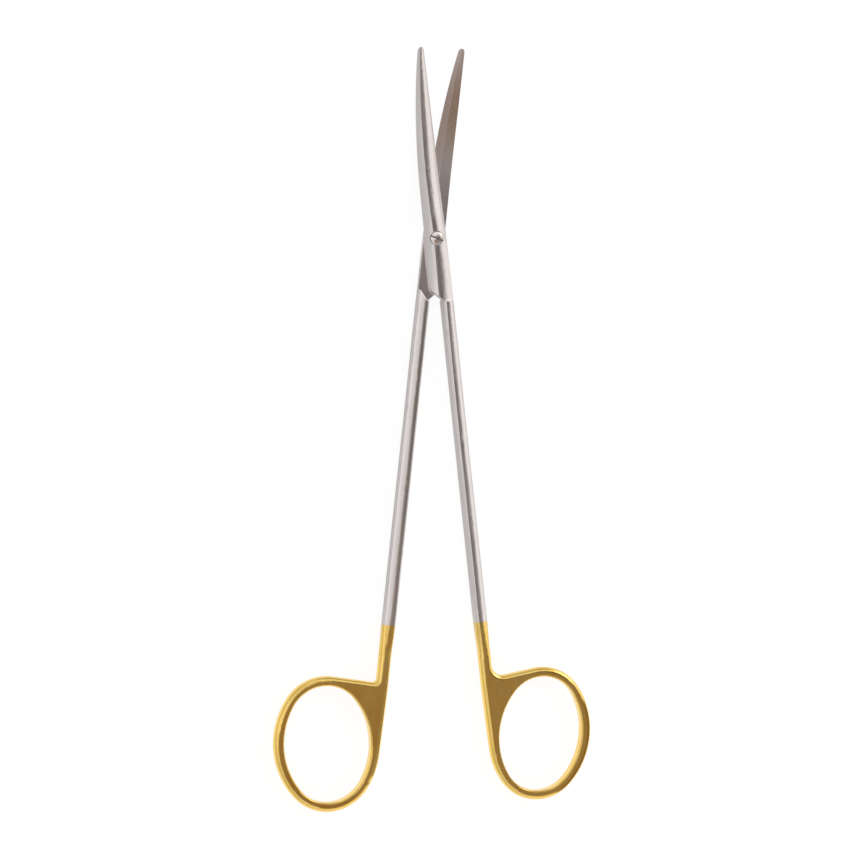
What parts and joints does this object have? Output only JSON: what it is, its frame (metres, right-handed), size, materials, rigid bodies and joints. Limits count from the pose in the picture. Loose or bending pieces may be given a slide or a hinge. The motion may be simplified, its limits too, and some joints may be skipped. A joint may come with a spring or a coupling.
{
  "type": "dissecting scissors",
  "caption": "Slim curved dissecting scissors: two crossing halves on a slotted screw, hard edge inserts, long straight shanks and plated oval finger rings.",
  "frame": {"origin": "on the pivot axis, in the plane where the two flat lock faces meet", "axes": "+Y from the pivot to the blade tips, +X to the right, +Z out of the side that the tips curve to, with the halves opened six degrees each from closed"},
  "size_m": [0.0782, 0.1776, 0.0085],
  "materials": {
    "satin_steel": "satin stainless steel, with the finger rings and the last centimetre of each shank plated in polished gold",
    "hard_insert": "ground hard-metal insert, slightly darker and finer than the steel round it",
    "polished_steel": "polished stainless steel screw"
  },
  "bodies": {
    "rear": {"rear_half": "satin_steel", "rear_edge_insert": "hard_insert", "pivot_screw": "polished_steel"},
    "front": {"front_half": "satin_steel", "front_edge_insert": "hard_insert"}
  },
  "joints": [
    {"name": "blade_pivot", "type": "hinge", "parent": "rear", "child": "front", "pos_m": [0, 0, 0], "axis": [0, 0, 1], "range_deg": [-11.9, 140]}
  ]
}
